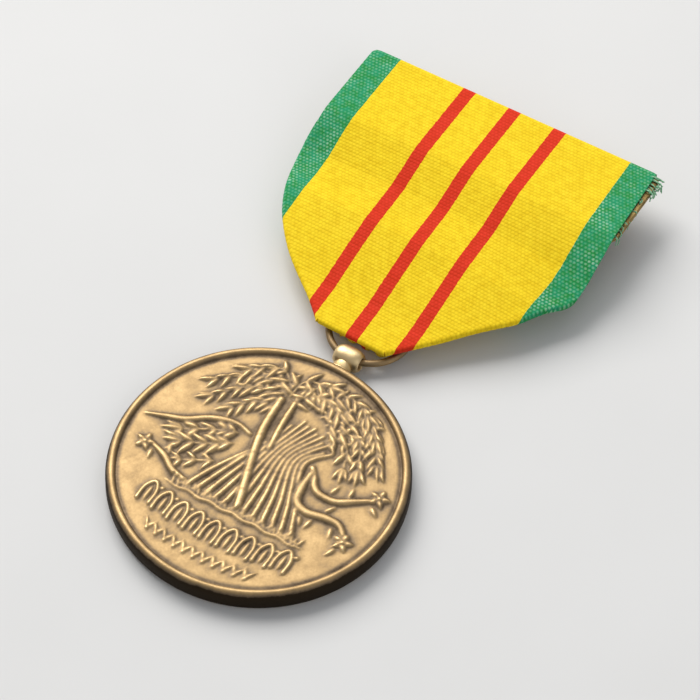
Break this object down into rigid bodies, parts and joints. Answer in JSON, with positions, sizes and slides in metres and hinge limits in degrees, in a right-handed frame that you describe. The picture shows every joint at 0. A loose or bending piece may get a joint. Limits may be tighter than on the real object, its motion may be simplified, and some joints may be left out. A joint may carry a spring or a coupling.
{
  "type": "service medal",
  "caption": "Round bronze medal hanging by a ring from a striped, folded ribbon on a brooch bar with a safety-catch pin at the back.",
  "frame": {"origin": "middle of the bounding box, on the surface that the medal lies on", "axes": "+X across the ribbon, to the right when the obverse faces the viewer; +Y from the pendant to the brooch bar; +Z out of the obverse"},
  "size_m": [0.036, 0.0704, 0.0055],
  "materials": {
    "antique_bronze": "struck relief, dark patina in the hollows, rubbed bright on the rim",
    "gilt_brass": "satin, lightly worn",
    "pin_steel": "nickel-plated spring steel",
    "ribbon_weave": "ribbed weave, yellow with three red lines and green edges",
    "thread": "spun thread"
  },
  "bodies": {
    "brooch": {"brooch_front_shell": "gilt_brass", "brooch_back_plate": "gilt_brass", "hinge_bracket": "gilt_brass", "hinge_rivet": "gilt_brass", "catch_housing": "gilt_brass", "ribbon_front_panel": "ribbon_weave", "ribbon_flap_right": "ribbon_weave", "ribbon_flap_left": "ribbon_weave", "ribbon_return_tab": "ribbon_weave", "tack_stitches": "thread"},
    "pin": {"pin_stem": "pin_steel"},
    "catch": {"catch_barrel": "gilt_brass"},
    "drape_end": {"ribbon_loop": "ribbon_weave"},
    "ring": {"suspension_ring": "gilt_brass"},
    "pendant": {"pendant_disc": "antique_bronze", "suspension_lug": "antique_bronze"}
  },
  "joints": [
    {"name": "ribbon_flex", "type": "hinge", "parent": "brooch", "child": "drape_end", "pos_m": [-0.00035, 0.01282, 0.00396], "axis": [1, 0, 0], "range_deg": [-45, 45]},
    {"name": "ring_turn", "type": "hinge", "parent": "drape_end", "child": "ring", "pos_m": [0.00045, 0.00323, 0.00135], "axis": [0, 0, 1], "range_deg": [-12, 12]},
    {"name": "pendant_swing", "type": "hinge", "parent": "ring", "child": "pendant", "pos_m": [0.00045, -0.00128, 0.00135], "axis": [1, 0, 0], "range_deg": [-90, 90]},
    {"name": "pin_open", "type": "hinge", "parent": "brooch", "child": "pin", "pos_m": [-0.0135, 0.02983, 0.0015], "axis": [0, 1, 0], "range_deg": [0, 70]},
    {"name": "catch_turn", "type": "hinge", "parent": "brooch", "child": "catch", "pos_m": [0.012, 0.02983, 0.0015], "axis": [-1, 0, 0], "range_deg": [0, 110]}
  ]
}
